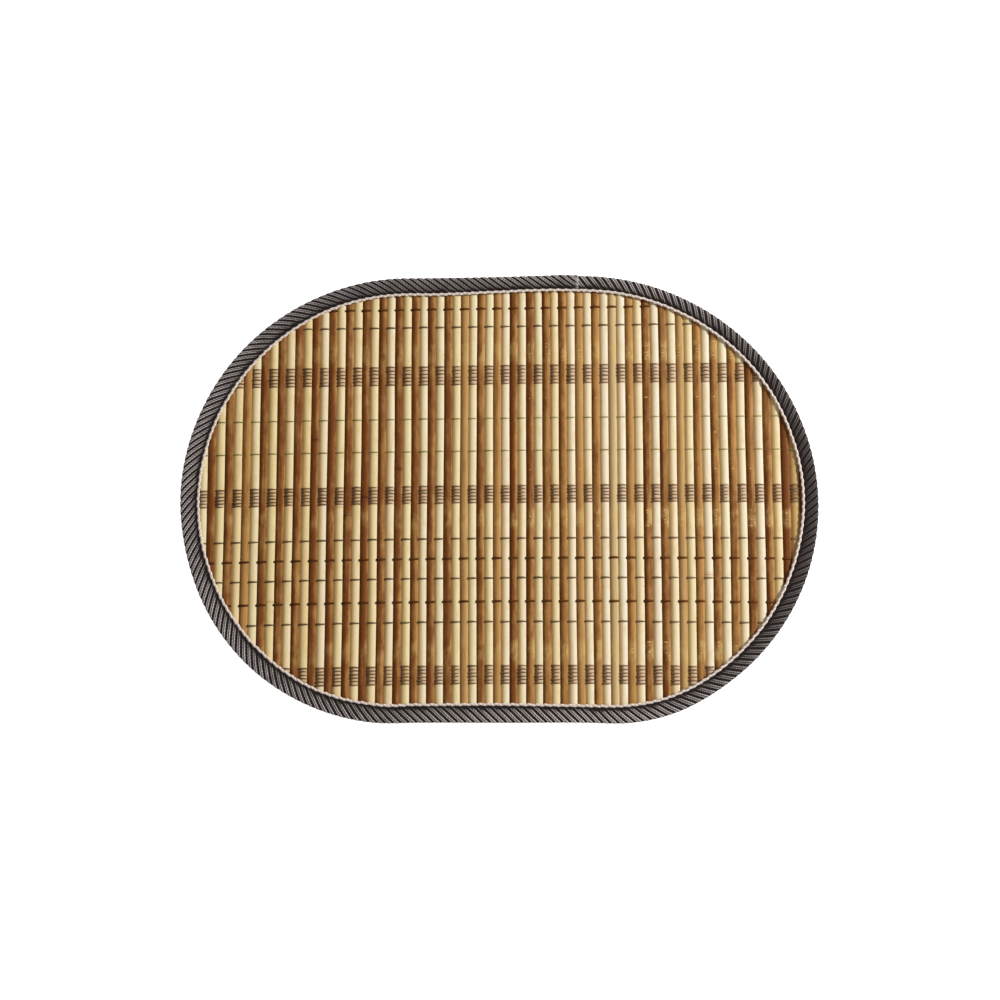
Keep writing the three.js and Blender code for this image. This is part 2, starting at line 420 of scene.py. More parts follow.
def pair_right(pair):
    """Right edge of a pair's pale slat, eased between the stations."""
    rows = PAIR_STATIONS
    last = len(rows) - 1
    index = min(max(i for i, row in enumerate(rows) if row.pair <= pair), last - 1)
    start, end = rows[index], rows[index + 1]
    span = end.pair - start.pair

    def slope(a, b):
        return (b.right - a.right) / (b.pair - a.pair) * span

    start_slope = slope(rows[index - 1], end) if index else slope(start, end)
    end_slope = slope(start, rows[index + 2]) if index < last - 1 else slope(start, end)
    part = (pair - start.pair) / span
    rest = 1 - part
    eased = (1 + 2 * part) * rest**2 * start.right + part**2 * (3 - 2 * part) * end.right
    return eased + part * rest**2 * start_slope - part**2 * rest * end_slope


def slats():
    """Every slat of the panel, from left to right, by its middle and half its width."""
    row = []
    for pair in range(FIRST_PAIR, LAST_PAIR + 1):
        start, end = pair_right(pair - 1), pair_right(pair)
        between = (start + end) / 2
        for tone, left, right in (("brown", start, between), ("pale", between, end)):
            row.append(Slat(pair, tone, (left + right) / 2, (right - left) / 2))
    return row


def rib_lean(along):
    """How far round the ribs lean for each mm of depth: steep after the lap, then flatter."""
    return mix(LEAN_AFTER_LAP, LEAN_BEFORE_LAP, (along - LAP_ALONG) / PERIMETER)


class Field:
    """A shader socket whose value varies over a surface, and which ordinary maths can use."""

    def __init__(self, finish, socket):
        self.finish = finish
        self.socket = socket

    def maths(self, operation, *terms):
        return self.finish.add("ShaderNodeMath", {"operation": operation}, dict(enumerate(terms)))[0]

    def __add__(self, other):
        return self.maths("ADD", self, other)

    def __sub__(self, other):
        return self.maths("SUBTRACT", self, other)

    def __rsub__(self, other):
        return self.maths("SUBTRACT", other, self)

    def __mul__(self, other):
        return self.maths("MULTIPLY", self, other)

    def __truediv__(self, other):
        return self.maths("DIVIDE", self, other)

    def __rtruediv__(self, other):
        return self.maths("DIVIDE", other, self)

    __radd__ = __add__
    __rmul__ = __mul__

    def fraction(self):
        return self.maths("FRACT", self)

    def size(self):
        return self.maths("ABSOLUTE", self)

    def sine(self):
        return self.maths("SINE", self)

    def wave(self):
        """The field's sine, brought between 0 and 1."""
        return self.sine() * 0.5 + 0.5

    def between(self, low, high):
        """0 where the field is at low, 1 where it is at high, with a soft rise."""
        settings = {"interpolation_type": "SMOOTHSTEP"}
        inputs = {"Value": self, "From Min": low, "From Max": high}
        return self.finish.add("ShaderNodeMapRange", settings, inputs)["Result"]


class Finish:
    """A material under construction: one method adds any node, and a few name common ones."""

    def __init__(self, name):
        self.material = bpy.data.materials.new(name)
        self.material.use_nodes = True
        self.nodes = self.material.node_tree.nodes
        self.links = self.material.node_tree.links
        self.nodes.clear()

    def add(self, kind, settings, inputs):
        """Adds a node, sets it up, and returns its outputs by name and number."""
        node = self.nodes.new(kind)
        for name, value in settings.items():
            setattr(node, name, value)
        for name, value in inputs.items():
            if isinstance(value, Field):
                self.links.new(value.socket, node.inputs[name])
            else:
                node.inputs[name].default_value = value
        outputs = {number: Field(self, socket) for number, socket in enumerate(node.outputs)}
        outputs.update({socket.name: Field(self, socket) for socket in node.outputs if socket.enabled})
        return outputs

    def place(self):
        return self.add("ShaderNodeTexCoord", {}, {})["Object"]

    def attribute(self, name):
        return self.add("ShaderNodeAttribute", {"attribute_name": name}, {})["Fac"]

    def parts(self, vector):
        """A vector's outputs, by the names X, Y and Z."""
        return self.add("ShaderNodeSeparateXYZ", {}, {"Vector": vector})

    def tape_place(self):
        """Rib count along the tape, and mm across it, from the piece's own map."""
        parts = self.parts(self.add("ShaderNodeUVMap", {"uv_map": "tape"}, {})["UV"])
        return parts["X"], parts["Y"]

    def vectors(self, operation, inputs):
        return self.add("ShaderNodeVectorMath", {"operation": operation}, inputs)["Vector"]

    def shifted(self, vector, direction, amount):
        """A vector moved along a direction by a field."""
        along = self.vectors("SCALE", {0: direction, "Scale": amount})
        return self.vectors("ADD", {0: vector, 1: along})

    def stretched(self, vector, scale):
        return self.vectors("MULTIPLY", {0: vector, 1: scale})

    def cloud(self, vector, scale, detail, roughness):
        inputs = {"Vector": vector, "Scale": scale, "Detail": detail, "Roughness": roughness}
        return self.add("ShaderNodeTexNoise", {}, inputs)["Fac"]

    def blended(self, part, first, second, blend="MIX"):
        """A mix of two colours, each a field or a plain colour."""
        settings = {"data_type": "RGBA", "blend_type": blend}
        inputs = {0: part, 6: opaque(first), 7: opaque(second)}
        return self.add("ShaderNodeMix", settings, inputs)[2]

    def tinted(self, part, base, tint):
        """A base colour multiplied by a part of a tint."""
        return self.blended(part, base, tint, "MULTIPLY")

    def bumped(self, height, distance, strength):
        inputs = {"Height": height, "Distance": distance, "Strength": strength}
        return self.add("ShaderNodeBump", {}, inputs)["Normal"]

    def done(self, inputs):
        """Closes the material with one shader and returns it."""
        shader = self.add("ShaderNodeBsdfPrincipled", {}, inputs)["BSDF"]
        self.add("ShaderNodeOutputMaterial", {}, {"Surface": shader})
        return self.material


def opaque(colour):
    """A plain colour with an alpha of 1. A field stays as it is."""
    return colour if isinstance(colour, Field) else (*colour, 1.0)


def bamboo_grain(finish):
    """Fine fibres and broader streaks along the slat, and blotches."""
    place = finish.shifted(finish.place(), SEED_SHIFT, finish.attribute("seed"))
    fibres = finish.cloud(finish.stretched(place, FIBRE_SCALE), 1.0, 4.0, 0.6)
    streaks = finish.cloud(finish.stretched(place, STREAK_SCALE), 1.0, 2.0, 0.5)
    blotches = finish.cloud(finish.stretched(place, BLOTCH_SCALE), 1.0, 4.0, 0.65)
    return fibres, streaks, blotches


def knot_line(finish):
    """The ring left where the cane had a joint, as a thin line and a soft band round it."""
    away = finish.attribute("knot").size()
    return 1 - away.between(*KNOT_LINE), 1 - away.between(*KNOT_BAND)


def thread_stain(finish, yarn_name, soft):
    """Where a yarn's bands run, whose fluff and dye colour the slats under and between the threads."""
    parts = finish.parts(finish.place())
    x = parts["X"] / MM
    y = parts["Y"] / MM - OUTLINE_SHIFT_Y
    stain = 0
    for band in WARP_BANDS:
        if band.yarn == yarn_name and band.count > 1:
            slope, bow = warp_path(band.y)
            away = (y - x * slope + x * x * bow - band.y).size()
            edge = (band.count - 1) / 2 * band.pitch + STAIN_PAST_BAND
            stain = stain + (1 - away.between(edge - soft, edge + soft))
    return stain


def gold_stain(finish, patches):
    """The gold threads' patchy stain, which is fainter towards the left."""
    faint, full = GOLD_SHOWS
    rising = finish.parts(finish.place())["X"].between(faint * MM, full * MM)
    stain = thread_stain(finish, "gold", GOLD_STAIN_SOFT) * patches.between(0.35, 0.7)
    return stain * (0.3 + rising * 0.7)


def bamboo(finish, body, roughness, fibres, line):
    """Closes a bamboo material with its sheen and the relief of its fibres and its knot."""
    return finish.done(
        {
            "Base Color": body,
            "Roughness": roughness,
            "Normal": finish.bumped(fibres - line * 0.6, *BAMBOO_RELIEF),
            "Specular IOR Level": BAMBOO_SHEEN,
        }
    )


def pale_bamboo(colours):
    """Plain bamboo with a green-gold left flank, partly its skin and partly painted shade, stained where
    the bands of threads cross it.
    """
    finish = Finish("pale_bamboo")
    fibres, streaks, blotches = bamboo_grain(finish)
    tone = finish.attribute("tone")
    across = finish.attribute("across")
    line, band = knot_line(finish)
    skin = finish.blended(tone, colours.pale_warm, colours.pale_cool)
    # The left flank, away from the key lamp, turns green-gold: partly the cane's skin, partly painted
    # shade
    flank = 1 - (across + (streaks - 0.5) * 1.1 + (blotches - 0.5) * 0.4).between(-0.65, 0.15)
    body = finish.blended(flank * (1.05 - tone * 0.3), skin, colours.pale_flank)
    gilt = gold_stain(finish, blotches) * flank
    body = finish.blended(gilt * 0.5, body, colours.gold_yarn)
    body = finish.tinted(finish.attribute("seed").between(0.4, 0.9) * 0.35, body, GREEN_CANE)
    # The lowest tones take a smoked tint, which at the right end is painted shadow of the tape
    body = finish.tinted(1 - tone.between(-0.4, 0.1), body, SMOKE_AND_SHADOW_CANE)
    body = finish.tinted(blotches.between(0.45, 0.75) * 0.65, body, PALE_BLOTCH)
    body = finish.tinted(fibres.between(0.5, 0.75) * 0.4, body, PALE_FIBRE)
    body = finish.tinted(band * 0.2 + line * 0.45, body, PALE_KNOT)
    stain = thread_stain(finish, "dark", DARK_STAIN_SOFT)
    body = finish.tinted(stain * 0.7, body, DYED_CANE)
    # Over a band the left flank darkens further: the yarn's dye and painted shade
    body = finish.tinted(stain * flank * 0.85, body, DYED_SHADED_FLANK)
    return bamboo(finish, body, 0.5 + fibres * 0.2, fibres, line)


def brown_bamboo(colours):
    """Smoked bamboo, from deep brown over honey to straw, with painted shade on its left flank and painted
    light towards its right.
    """
    finish = Finish("brown_bamboo")
    fibres, streaks, blotches = bamboo_grain(finish)
    tone = finish.attribute("tone")
    across = finish.attribute("across")
    line, band = knot_line(finish)
    # The across term warms the right side of each slat: painted light on the flank that faces the key lamp
    warm = (tone + (blotches - 0.5) * 2.2 + (streaks - 0.5) * 2.1 + across * 0.25).between(-0.2, 1.2)
    body = finish.blended(warm, colours.brown_deep, colours.brown_honey)
    light = (tone + (streaks - 0.5) * 0.8 + (blotches - 0.5) * 0.8).between(1.0, 2.3)
    body = finish.blended(light, body, colours.brown_straw)
    # Painted shade: the left flank, away from the key lamp, is darkened
    flank = 1 - (across + (fibres - 0.5) * 0.3).between(-1.0, 0.3)
    body = finish.tinted(flank * 0.75, body, BROWN_SHADED_FLANK)
    body = finish.tinted(fibres.between(0.45, 0.75) * 0.55, body, BROWN_FIBRE)
    body = finish.tinted(band * 0.3 + line * 0.6, body, BROWN_KNOT)
    stain = gold_stain(finish, blotches + across * 0.1)
    body = finish.blended(stain * 0.6, body, colours.gold_yarn)
    return bamboo(finish, body, 0.45 + fibres * 0.25, fibres, line)


def twisted_yarn(name, base, smoothness):
    """A twisted yarn lying along X, with fine plies, a little loose fibre, and painted light that
    brightens it towards the right.
    """
    finish = Finish(name)
    place = finish.place()
    parts = finish.parts(place)
    twist = (parts["X"] * PLIES_ALONG + parts["Y"] * PLIES_ACROSS).wave()
    fluff = finish.cloud(place, 2600.0, 3.0, 0.6)
    slow = finish.cloud(place, 140.0, 2.0, 0.5)
    # The shade mixes twist, fluff and slow tone with painted light: the X term makes each yarn lighter
    # towards the key lamp at the right
    shade = (twist * 0.3 + fluff * 0.3 + slow * 0.9 + parts["X"] * 1.2).between(0.3, 1.2)
    dark = [channel * 0.5 for channel in base]
    light = [min(channel * 1.6, 1.0) for channel in base]
    return finish.done(
        {
            "Base Color": finish.blended(shade, dark, light),
            "Roughness": 0.85 - shade * smoothness,
            "Normal": finish.bumped(twist + fluff * 0.5, *YARN_RELIEF),
            "Specular IOR Level": YARN_SHEEN,
        }
    )


def tape_cloth(colours):
    """Charcoal ribs with two pale strands on each, which sink before the selvage, and painted light and
    shade on the strands.
    """
    finish = Finish("binding_tape")
    ribs, across = finish.tape_place()
    place = finish.place()
    from_lip = finish.attribute("from_lip")
    drift = finish.cloud(place, 160.0, 2.0, 0.5)
    fluff = finish.cloud(place, 2200.0, 3.0, 0.6)
    phase = (ribs + (drift - 0.5) * 0.12).fraction()
    stitches = (across * STITCHES_ACROSS).sine() * 0.03
    first = 1 - (phase + stitches - 0.33).size().between(0.05, 0.13)
    second = 1 - (phase + stitches - 0.67).size().between(0.04, 0.12)
    wear = (drift * 0.7 + fluff * 0.5).between(0.3, 0.75)
    showing = (from_lip + (phase - 0.5) * 2.2 + (drift - 0.5) * 4).between(1.2, 3.4)
    # Painted light and shade: the strands' brightness follows the stations round the edge, and they dim
    # towards the lip
    strand_light = finish.attribute("strands") * (0.4 + from_lip * 0.085)
    strands = (first + second * 0.85) * showing * (0.5 + wear * 0.5) * strand_light
    plies = (across * TAPE_PLIES_ACROSS + ribs * TAPE_PLIES_PER_RIB).wave()
    body = finish.blended(strands, colours.tape_dark, colours.tape_strand)
    body = finish.tinted(plies * 0.45, body, TAPE_PLY)
    frayed = (1 - finish.attribute("to_cut").between(0.4, 3)) * fluff.between(0.35, 0.6)
    body = finish.blended(frayed * 0.8, body, colours.tape_strand)
    height = strands * 0.8 + plies * 0.35 + fluff * 0.4
    return finish.done(
        {
            "Base Color": body,
            "Roughness": 0.9 - strands * 0.15,
            "Normal": finish.bumped(height, *TAPE_RELIEF),
            "Specular IOR Level": TAPE_SHEEN,
        }
    )


def selvage_cotton(colours):
    """Pale cotton in slanting loops, two on each rib, with painted shade between the loops."""
    finish = Finish("tape_edging")
    ribs, across = finish.tape_place()
    fluff = finish.cloud(finish.place(), 2400.0, 3.0, 0.6)
    loops = (ribs * LOOPS_PER_RIB + across * LOOPS_ACROSS).wave()
    # Painted shade: the cotton darkens to the shade colour between the loops
    shade = (loops * 0.4 + fluff * 0.6).between(0.05, 0.85)
    return finish.done(
        {
            "Base Color": finish.blended(shade, colours.edging_shade, colours.edging),
            "Roughness": 0.9,
            "Normal": finish.bumped(loops + fluff * 0.5, *SELVAGE_RELIEF),
        }
    )


def floor_paper(colours):
    """White paper with a faint haze, which glows so that it stays white at its far rim."""
    finish = Finish("studio_floor")
    haze = finish.cloud(finish.place(), 3.0, 2.0, 0.5)
    hazy = [channel * FLOOR_HAZE for channel in colours.floor]
    return finish.done(
        {
            "Base Color": finish.blended(haze, colours.floor, hazy),
            "Roughness": 0.9,
            "Specular IOR Level": FLOOR_SHEEN,
            "Emission Color": (1, 1, 1, 1),
            "Emission Strength": FLOOR_GLOW,
        }
    )


def finished(name, source, material, slot=None):
    """Turns a shape in mm into a smooth object in metres, which rides with the mat if it has a slot."""
    if not source.verts:
        raise RuntimeError(f"{name} came out empty")
    bmesh.ops.scale(source, vec=(MM, MM, MM), verts=source.verts)
    mesh = bpy.data.meshes.new(name)
    source.to_mesh(mesh)
    source.free()
    mesh.shade_smooth()
    mesh.materials.append(material)
    piece = bpy.data.objects.new(name, mesh)
    bpy.context.scene.collection.objects.link(piece)
    if slot:
        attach(piece, BODY)
    return piece


def crown_drop(across):
    """How far a slat's rounded top lies below its crown, at a part of its half width."""
    return CROWN_DROP * abs(across) ** CROWN_POWER


def slat_blank(source):
    """A slat's rounded section, drawn out in rings from -1 to 1 along Y. X runs from -1 to 1."""
    circle = bmesh.ops.create_circle(source, cap_ends=False, segments=SECTION_CORNERS, radius=1)
    bmesh.ops.rotate(source, verts=circle["verts"], matrix=Matrix.Rotation(math.pi / 2, 3, "X"))
    turn = math.pi / SECTION_CORNERS
    bmesh.ops.rotate(source, verts=circle["verts"], matrix=Matrix.Rotation(turn, 3, "Y"))
    for corner in circle["verts"]:
        crowded = abs(corner.co.x) ** SECTION_CROWDING * SECTION_FULLNESS
        across = math.copysign(min(crowded, 1), corner.co.x)
        chamfer = UNDERSIDE_CHAMFER * smooth_step(abs(across), CHAMFER_FROM, 1)
        corner.co.z = PANEL_TOP - crown_drop(across) if corner.co.z > 0 else PANEL_BOTTOM + chamfer
        corner.co.x = across
        corner.co.y = -1
    rim = list(source.edges)
    for _ in range(SLAT_RINGS):
        drawn = bmesh.ops.extrude_edge_only(source, edges=rim)["geom"]
        moved = [part for part in drawn if isinstance(part, bmesh.types.BMVert)]
        bmesh.ops.translate(source, vec=(0, 2 / SLAT_RINGS, 0), verts=moved)
        rim = [part for part in drawn if isinstance(part, bmesh.types.BMEdge)]
    bmesh.ops.holes_fill(source, edges=source.edges, sides=0)
    bmesh.ops.recalc_face_normals(source, faces=source.faces)


def slat_tone(slat, chance):
    """How light a slat is: 0 to 1 for most, more if it took little smoke, less at the right end, where
    painted shadow of the tape darkens it.
    """
    drift = (slat.middle - PANEL_LEFT) / (PANEL_RIGHT - PANEL_LEFT)
    tone = mix(*TONE_DRIFT[slat.tone], drift) + chance.gauss(0, TONE_SPREAD)
    tone = min(max(tone, 0), 1)
    for light in LIGHT_SLATS:
        if slat.tone == "brown" and slat.pair == light.pair:
            tone = 1 + light.lightness
    return tone - SHADOWED_END * smooth_step(slat.middle, *SHADOWED_END_REACH)


def lay_slat(source, blank, slat, layers, chance):
    """Copies the blank, bends it a little as split cane is bent, and cuts it to the mat."""
    copy = bmesh.ops.duplicate(source, geom=blank)["geom"]
    corners = [part for part in copy if isinstance(part, bmesh.types.BMVert)]
    seed = chance.random()
    tone = slat_tone(slat, chance)
    knot = chance.uniform(-KNOT_SPACING, KNOT_SPACING)
    lift = chance.uniform(*SLAT_LIFT)
    fullness = chance.uniform(*SLAT_FULLNESS)
    for corner in corners:
        across, part, height = corner.co
        x = slat.middle + slat.half * across
        y = OUTLINE_SHIFT_Y + part * reach_along_y(x, SLAT_END_DEPTH)
        to_knot = y - knot
        swell = KNOT_SWELL * math.exp(-((to_knot / KNOT_REACH) ** 2))
        sway = SWAY * noise.noise(Vector((x / SWAY_ACROSS, y / SWAY_ALONG, 0)))
        ripple = noise.noise(Vector((seed * RIPPLE_ROWS, y / RIPPLE_LENGTH, RIPPLE_PLANE)))
        half = slat.half * (fullness + swell + ripple * RIPPLE_WIDTH)
        on_top = height > PANEL_BOTTOM + BACK_HEIGHT
        rise = lift + swell * KNOT_RISE + ripple * RIPPLE_HEIGHT if on_top else 0
        corner.co = (slat.middle + half * across + sway, y, height + rise)
        corner[layers["tone"]] = tone
        corner[layers["seed"]] = seed
        corner[layers["across"]] = across
        corner[layers["knot"]] = to_knot


def make_slats(tone, name, material, slot):
    """All the slats of one tone, as one piece."""
    source = bmesh.new()
    layer_names = ("tone", "seed", "across", "knot")
    layers = {layer: source.verts.layers.float.new(layer) for layer in layer_names}
    slat_blank(source)
    blank = [*source.verts, *source.edges, *source.faces]
    blank_corners = list(source.verts)
    chance = random.Random(SLAT_SEED + len(tone))
    for slat in slats():
        if slat.tone == tone and reach_along_y(slat.middle, SLAT_END_DEPTH) > SHORTEST_SLAT:
            lay_slat(source, blank, slat, layers, chance)
    bmesh.ops.delete(source, geom=blank_corners, context="VERTS")
    return finished(name, source, material, slot)


def warp_path(start):
    """Slope and bow of the thread that crosses the middle line at a place."""
    slope = NEAR_SLOPE + SLOPE_GAIN * (start - WARP_NEAR_Y)
    bow = FAR_BOW + max(0, BOW_GAIN * (WARP_FAR_Y - start) / (WARP_FAR_Y - WARP_NEAR_Y))
    return slope, bow


def warp_lines():
    """Every warp thread, as its band and the place where it crosses the middle line."""
    for band in WARP_BANDS:
        for step in range(band.count):
            yield band, band.y + (step - (band.count - 1) / 2) * band.pitch


def warp_y(start, x):
    """Place along Y, at a place along X, of the thread that crosses the middle line at start."""
    slope, bow = warp_path(start)
    return OUTLINE_SHIFT_Y + start + slope * x - bow * x * x


def warp_points(start, band, kind, radius, row, chance):
    """A thread's way over the slats of one tone and under the others, and its thickness there."""
    points, thicknesses = [], []
    single = band.count == 1
    most = SINGLE_STRAY if single else BAND_STRAY
    stout = SINGLE_STOUT if single else 1
    for slat in row:
        over = slat.tone == band.over
        stray = chance.uniform(-most, most)
        sunk = chance.uniform(*kind.sink) * radius * (SINGLE_SINK[band.over] if single else 1)
        if kind.name == "gold":
            sunk *= mix(GOLD_SINK_LEFT, 1, smooth_step(slat.middle, *GOLD_SHOWS))
        for part in WARP_STEPS:
            x = slat.middle + slat.half * part
            y = warp_y(start, x) + stray * (1 - part * part)
            if abs(y - OUTLINE_SHIFT_Y) > reach_along_y(x, SLAT_END_DEPTH):
                continue
            if over:
                z = PANEL_TOP - crown_drop(part) + radius * (1 - kind.drop * part * part) - sunk
            else:
                z = PANEL_BOTTOM - radius * (UNDER_DROP - UNDER_RISE * abs(part) ** UNDER_RISE_POWER)
            thickness = stout * (1 - kind.taper * part * (1 if over else -1))
            z = max(z, radius * thickness + UNDER_CLEARANCE)
            points.append((x * MM, y * MM, z * MM, 1.0))
            thicknesses.append(thickness)
    return points, thicknesses


def make_warps(kind, radius, material):
    """All the threads of one yarn, as round cords that press into the slats they cross."""
    name = f"{kind.name}_warps"
    curve = bpy.data.curves.new(name, "CURVE")
    curve.dimensions = "3D"
    curve.bevel_depth = radius * MM
    curve.bevel_resolution = 1
    curve.use_fill_caps = True
    chance = random.Random(WARP_SEED)
    row = slats()
    for band, start in warp_lines():
        if band.yarn != kind.name:
            continue
        points, thicknesses = warp_points(start, band, kind, radius, row, chance)
        spline = curve.splines.new("POLY")
        spline.points.add(len(points) - 1)
        spline.points.foreach_set("co", [value for point in points for value in point])
        spline.points.foreach_set("radius", thicknesses)
        spline.use_smooth = True
    curve.materials.append(material)
    piece = bpy.data.objects.new(name, curve)
    bpy.context.scene.collection.objects.link(piece)
    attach(piece, BODY)
    return piece


def tape_section(width):
    """Corners of the folded tape, once round, from the lower leg's lip round the nose to the top."""
    lower = width - LOWER_LEG_SHORTER
    top = TAPE_TOP - BELOW_LAP
    under = PANEL_TOP + CLEARANCE
    rows = (
        # depth, height, relief
        (lower, 0.12, 0),
        (lower - 0.4, 0, 0.2),
        (width * 0.62, 0, 0.4),
        (width * 0.38, 0, 0.4),
        (1.5, 0, 0.4),
        (0.75, 0.12, 0.6),
        (0.25, 0.6, 0.8),
        (0, 1.4, 1),
        (0.05, 2.2, 1),
        (0.4, 2.95, 1),
        (1.0, 3.45, 1),
        (1.9, top - 0.14, 1),
        (3.1, top - 0.02, 1),
        (width * 0.42, top, 1),
        (width * 0.55, top - 0.02, 1),
        (width * 0.68, top - 0.1, 1),
        (width - 2.2, top - 0.2, 1),
        (width - 1.3, top - 0.26, 0.9),
        (width - 0.6, top - 0.34, 0.8),
        (width - 0.15, top - 0.5, 0.5),
        (width, under + 0.08, 0),
        (width - 0.4, under, 0),
        (width * 0.5, under, 0),
        (1.6, under, 0),
        (1.2, (under + TAPE_THICKNESS) / 2, 0),
        (1.6, TAPE_THICKNESS, 0),
        (width * 0.5, TAPE_THICKNESS, 0),
        (lower - 0.2, TAPE_THICKNESS - 0.04, 0),
    )
    return [SectionCorner(*row) for row in rows]


def rib_relief(phase):
    """How far the surface lies below a rib's back: a broad rounded rib and a narrow furrow."""
    swing = abs((phase % 1.0) - 0.5) * 2
    return smooth_step(swing, FURROW_FROM, 1)


def wrapped(steps_along, steps_across, placed, mapped, value_names=()):
    """A grid of cells whose corners are placed, valued and mapped by their step along and across."""
    source = bmesh.new()
    values = [source.verts.layers.float.new(name) for name in value_names]
    layer = source.loops.layers.uv.new("tape")
    bmesh.ops.create_grid(source, x_segments=steps_along, y_segments=steps_across, size=0.5, calc_uvs=True)
    for face in source.faces:
        for loop in face.loops:
            place = loop[layer].uv
            loop[layer].uv = mapped(round(place.x * steps_along), round(place.y * steps_across))
    for corner in source.verts:
        along = round((corner.co.x + 0.5) * steps_along)
        across = round((corner.co.y + 0.5) * steps_across)
        corner.co, *found = placed(along, across)
        for layer, value in zip(values, found):
            corner[layer] = value
    bmesh.ops.remove_doubles(source, verts=source.verts, dist=MERGE_DISTANCE)
    return source


def make_tape(sizes, material):
    """The folded tape with its leaning ribs, cut square where it laps over its own start."""
    per_rib = sizes.steps_per_rib
    stations = []
    for step in range((RIB_COUNT + 2 * OVERRUN_RIBS) * per_rib + 1):
        rib = step / per_rib - OVERRUN_RIBS
        along = LAP_ALONG + rib * PERIMETER / RIB_COUNT
        width = edge_value(along, "tape")
        before_end = LAP_ALONG + PERIMETER - along
        lift = sizes.lap_lift * (1 - smooth_step(before_end, *LAP_FADE))
        stations.append((rib, along, width, rib_lean(along), lift, tape_section(width)))
    outline = tape_section(TYPICAL_WIDTH)
    corner_count = len(outline)
    around = [0.0]
    for a, b in zip(outline, [*outline[1:], outline[0]]):
        around.append(around[-1] + math.hypot(b.depth - a.depth, b.height - a.height))

    def placed(step, corner_step):
        rib, along, width, lean, lift, section = stations[step]
        corner = section[corner_step % corner_count]
        to_lip = width - corner.depth
        sink = sizes.rib_depth * rib_relief(rib) * corner.relief
        nose = 1 - smooth_step(corner.depth, *NOSE_REACH)
        depth = corner.depth + sink * nose * NOSE_SINK - lift * nose * NOSE_LIFT
        depth += LIP_WAVE * math.cos(rib * 2 * math.pi) * (1 - smooth_step(to_lip, *LIP_WAVE_REACH))
        leant = along + lean * (corner.depth - width / 2)
        point = edge_point(leant, depth)
        height = corner.height - sink
        if corner.height <= UPPER_SIDE_HEIGHT:
            height = corner.height + sink * LOWER_SIDE_SINK
        height += lift * smooth_step(corner.height, *LAP_LIFT_HEIGHTS)
        from_lip = to_lip if corner.height > LOWER_LEG_HEIGHT else UNDER_LIP
        to_cut = LAP_ALONG + LAP_END + PERIMETER - leant
        return (point.x, point.y, height), from_lip, to_cut, edge_value(leant, "strands")

    def mapped(step, corner_step):
        return stations[step][0], around[corner_step]

    value_names = ("from_lip", "to_cut", "strands")
    source = wrapped(len(stations) - 1, corner_count, placed, mapped, value_names)
    square_off(source)
    bmesh.ops.recalc_face_normals(source, faces=source.faces)
    return finished("edge_tape", source, material, "binding_tape")


def square_off(source):
    """Cuts both slanted ends of the tape square to the edge, and closes them."""
    layer = source.loops.layers.uv["tape"]
    start, stop = LAP_ALONG - LAP_LENGTH, LAP_ALONG + LAP_END + PERIMETER
    for end, along, away in ((0, start, -1), (RIB_COUNT, stop, 1)):
        near = [face for face in source.faces if abs(face.loops[0][layer].uv.x - end) < CUT_RIBS]
        parts = {part for face in near for part in (face, *face.edges, *face.verts)}
        point = edge_point(along, 0)
        ahead = edge_point(along + 1, 0) - edge_point(along - 1, 0)
        cut = bmesh.ops.bisect_plane(
            source,
            geom=list(parts),
            dist=CUT_DISTANCE,
            plane_co=(point.x, point.y, 0),
            plane_no=(ahead.x * away, ahead.y * away, 0),
            clear_outer=True,
        )
        rim = [part for part in cut["geom_cut"] if isinstance(part, bmesh.types.BMEdge)]
        bmesh.ops.edgeloop_fill(source, edges=rim)


def make_selvage(sizes, material):
    """The tape's pale looped selvage, a flattened wavy cord along both lips of the tape."""
    upper = selvage_cord(sizes, UPPER_LIP)
    lower = selvage_cord(sizes, LOWER_LIP)
    mesh = bpy.data.meshes.new("lower_selvage")
    lower.to_mesh(mesh)
    lower.free()
    upper.from_mesh(mesh)
    bpy.data.meshes.remove(mesh)
    return finished("tape_selvage", upper, material, "tape_edging")


def selvage_cord(sizes, lip):
    """One closed cord along a lip of the tape."""
    steps = RIB_COUNT * sizes.steps_per_rib
    line = []
    for step in range(steps):
        rib = step / sizes.steps_per_rib
        along = LAP_ALONG + rib * PERIMETER / RIB_COUNT
        width = edge_value(along, "tape") - lip.shorter
        wave = math.cos(rib * 2 * math.pi)
        wander = noise.noise(Vector((rib / WANDER_RIBS, WANDER_PLANE, 0))) * SELVAGE_WANDER
        depth = width + SELVAGE_PAST_LIP + wave * SELVAGE_WAVE + wander
        line.append((along + rib_lean(along) * width / 2, depth, wave))

    def placed(step, turn_step):
        along, depth, wave = line[step % steps]
        turn = 2 * math.pi * turn_step / CORD_CORNERS
        point = edge_point(along, depth + sizes.selvage_width / 2 * math.cos(turn))
        height = lip.height + lip.half_thick * math.sin(turn) + SELVAGE_RISE * wave
        return ((point.x, point.y, height),)

    def mapped(step, turn_step):
        return step / sizes.steps_per_rib, turn_step * CORD_MAP_STEP

    cord = wrapped(steps, CORD_CORNERS, placed, mapped)
    bmesh.ops.recalc_face_normals(cord, faces=cord.faces)
    return cord


